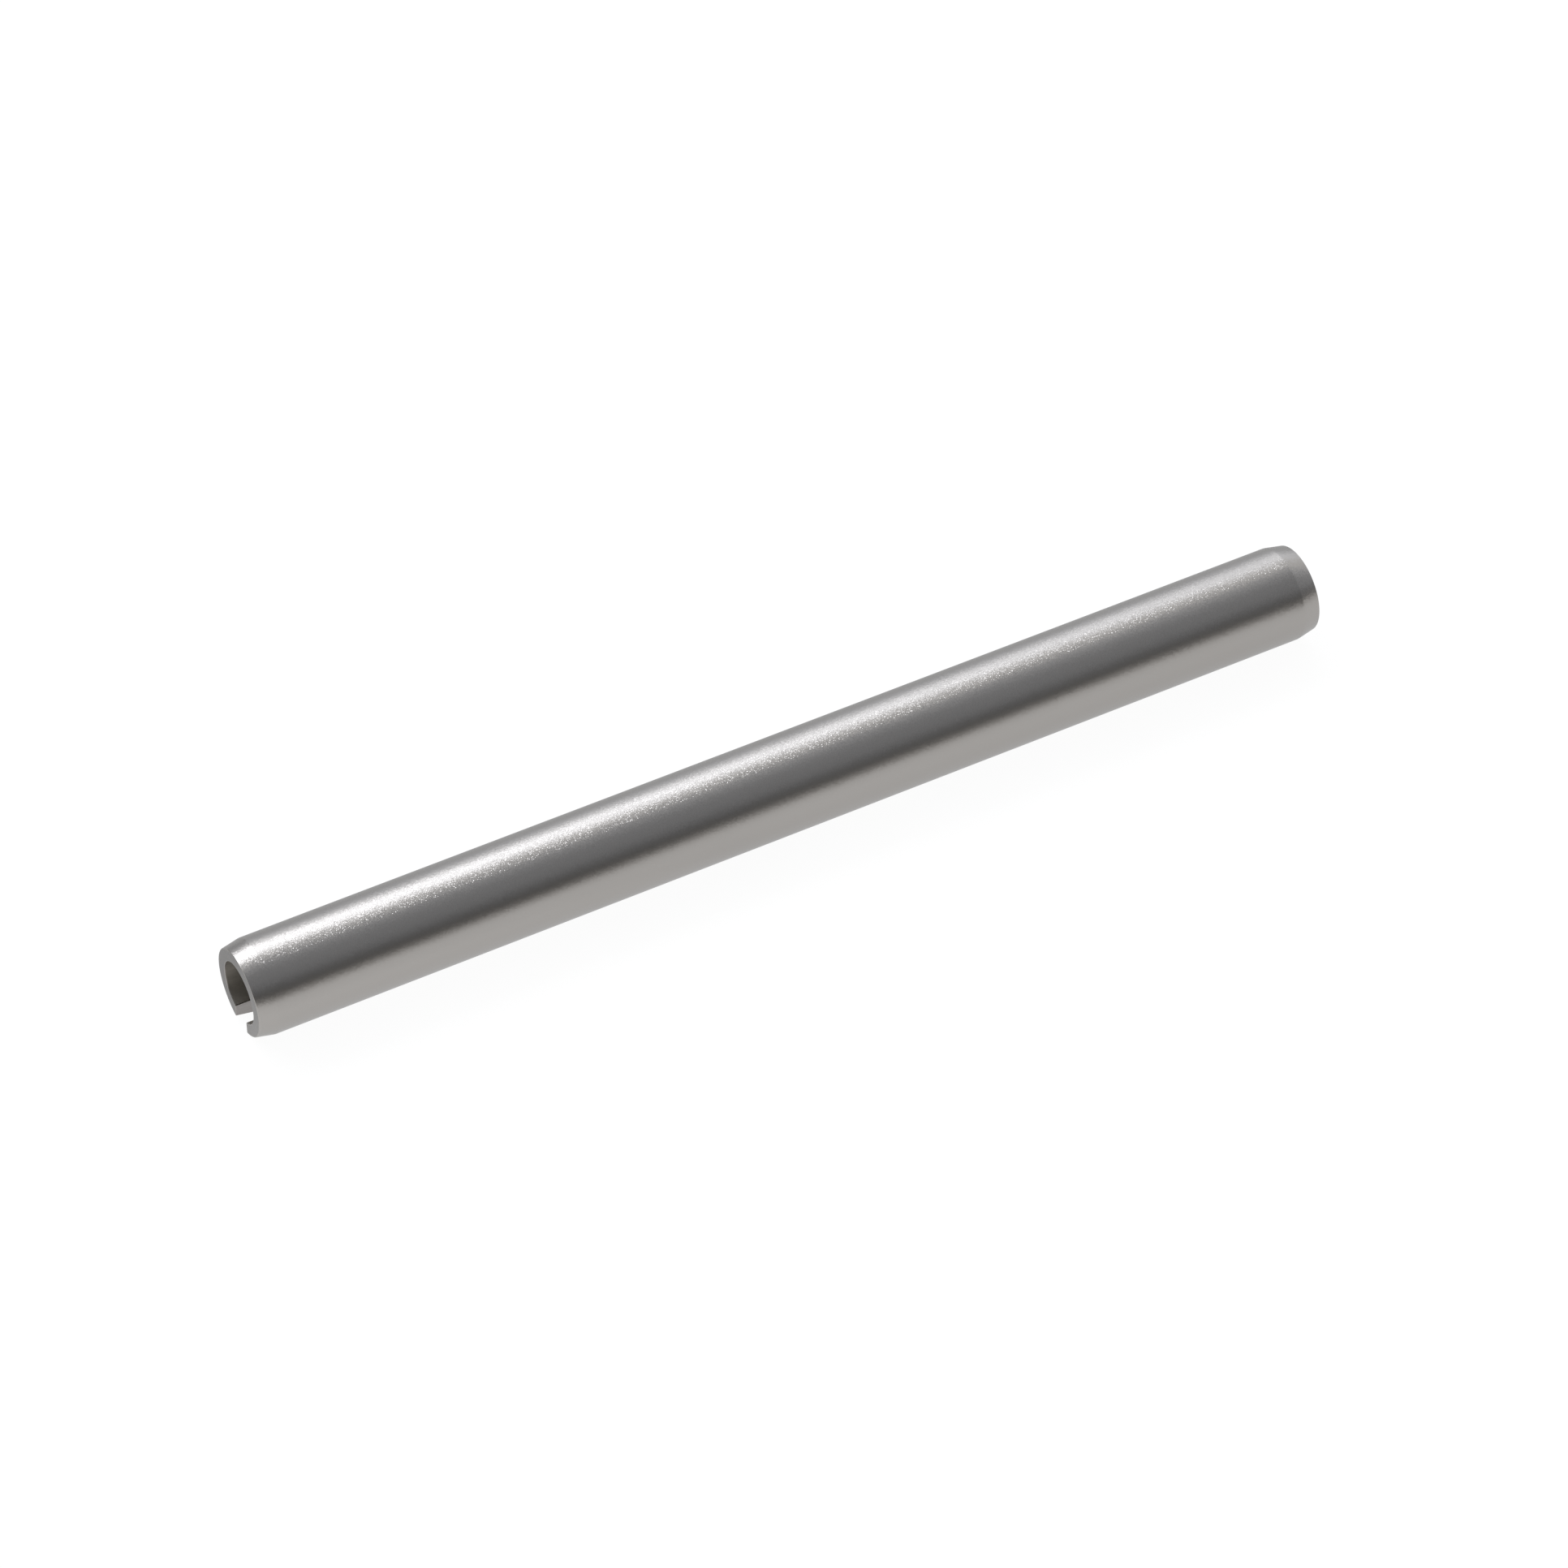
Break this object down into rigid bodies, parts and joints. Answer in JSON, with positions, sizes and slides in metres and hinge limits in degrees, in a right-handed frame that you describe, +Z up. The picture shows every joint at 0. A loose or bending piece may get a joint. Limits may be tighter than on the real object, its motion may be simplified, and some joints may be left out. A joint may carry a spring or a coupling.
{
  "type": "spring roll pin",
  "caption": "Hollow rolled steel pin with a slot along its whole length and a tapered lead at each end, which closes up and grips when driven into a hole.",
  "frame": {"origin": "on the pin's axis at mid-length", "axes": "+X along the pin's axis, +Z up, with the slot facing down along -Z, as the pin lies at rest on the slot's two edges"},
  "size_m": [0.055, 0.0046, 0.0045],
  "materials": {
    "spring_steel": "tumbled spring steel, satin, with a fine sparkling grain and brighter worn edges"
  },
  "bodies": {
    "root": {"roll_pin": "spring_steel"}
  },
  "joints": []
}
